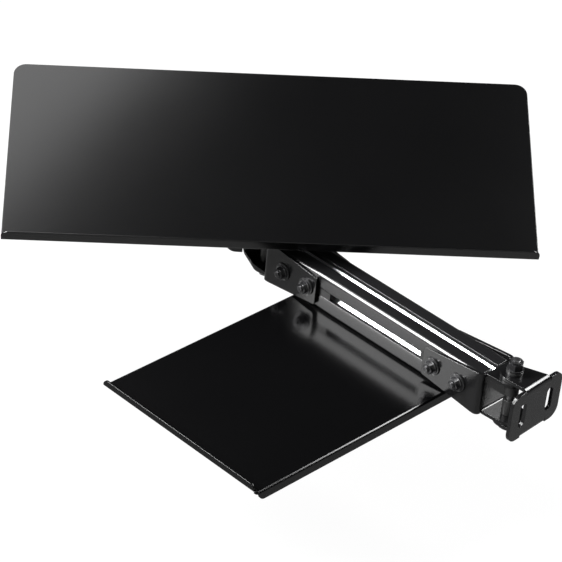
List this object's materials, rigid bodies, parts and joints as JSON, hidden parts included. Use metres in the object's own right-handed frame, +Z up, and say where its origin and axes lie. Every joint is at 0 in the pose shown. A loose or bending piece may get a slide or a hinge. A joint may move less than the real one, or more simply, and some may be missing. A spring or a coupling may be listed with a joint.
{
  "type": "keyboard and mouse tray",
  "caption": "Keyboard and mouse tray on an extruded arm that swings from a slotted rig bracket, with a swivelling, tilting keyboard shelf above and a flat mouse shelf under the arm.",
  "frame": {"origin": "centre of the slotted face that bolts to the rig, on its outer side", "axes": "+X out of that face into the rig, the arm reaches out along -X, +Z up"},
  "size_m": [0.6228, 0.548, 0.1589],
  "materials": {
    "bracket_steel": "black powder coat, satin",
    "tray_steel": "black powder coat, smooth satin",
    "arm_aluminium": "black coat outside, bare drawn metal inside the slots",
    "black_fixings": "black oxide",
    "bar_steel": "blackened",
    "spring_steel": "oiled spring steel",
    "bush_plastic": "plain"
  },
  "bodies": {
    "mount": {"mount_swing_bracket": "bracket_steel", "mount_hinge_bolt": "black_fixings", "mount_hinge_washers": "black_fixings", "mount_hinge_disc_springs": "spring_steel", "mount_hinge_thrust_washer": "bush_plastic", "mount_hinge_lock_nut": "black_fixings"},
    "arm": {"mount_clevis": "bracket_steel", "mount_hinge_bushes": "bush_plastic", "mount_slot_bars": "bar_steel", "mount_studs": "black_fixings", "mount_stud_washers": "black_fixings", "mount_stud_nuts": "black_fixings", "keyboard_clevis": "bracket_steel", "keyboard_hinge_bushes": "bush_plastic", "keyboard_slot_bars": "bar_steel", "keyboard_studs": "black_fixings", "keyboard_stud_washers": "black_fixings", "keyboard_stud_nuts": "black_fixings", "arm_profile": "arm_aluminium"},
    "mouse_tray": {"mouse_tray": "tray_steel", "mouse_tray_bolts": "black_fixings", "mouse_tray_washers": "black_fixings", "mouse_tray_slot_nuts": "bar_steel"},
    "keyboard_swivel": {"keyboard_swing_bracket": "bracket_steel", "keyboard_hinge_bolt": "black_fixings", "keyboard_hinge_washers": "black_fixings", "keyboard_hinge_disc_springs": "spring_steel", "keyboard_hinge_thrust_washer": "bush_plastic", "keyboard_hinge_lock_nut": "black_fixings", "tilt_bracket": "bracket_steel", "tilt_bracket_bolts": "black_fixings", "tilt_bracket_washers": "black_fixings", "tilt_bracket_nuts": "black_fixings"},
    "keyboard_tray": {"keyboard_tray": "tray_steel", "tray_bracket": "bracket_steel", "tray_stud_washers": "black_fixings", "tray_stud_nuts": "black_fixings", "tilt_pivot_bolts": "black_fixings", "tilt_pivot_nuts": "black_fixings", "tilt_lock_bolts": "black_fixings", "tilt_lock_nuts": "black_fixings", "tilt_ear_washers": "bush_plastic", "tilt_inner_washers": "black_fixings"}
  },
  "joints": [
    {"name": "mount_swivel", "type": "hinge", "parent": "mount", "child": "arm", "pos_m": [-0.0256, -0.0048, 0.0008], "axis": [0, 0, 1], "range_deg": [-67, 73]},
    {"name": "mouse_tray_slide", "type": "slide", "parent": "arm", "child": "mouse_tray", "axis": [0.9986, -0.0523, 0], "range_m": [-0.012, 0.01]},
    {"name": "keyboard_swivel_hinge", "type": "hinge", "parent": "arm", "child": "keyboard_swivel", "pos_m": [-0.34616, 0.012, 0.0008], "axis": [0, 0, 1], "range_deg": [-27, 113]},
    {"name": "keyboard_tilt", "type": "hinge", "parent": "keyboard_swivel", "child": "keyboard_tray", "pos_m": [-0.38496, 0.04376, 0.04129], "axis": [0.7191, 0.6944, 0.0253], "range_deg": [-22.06, 1.94]}
  ]
}
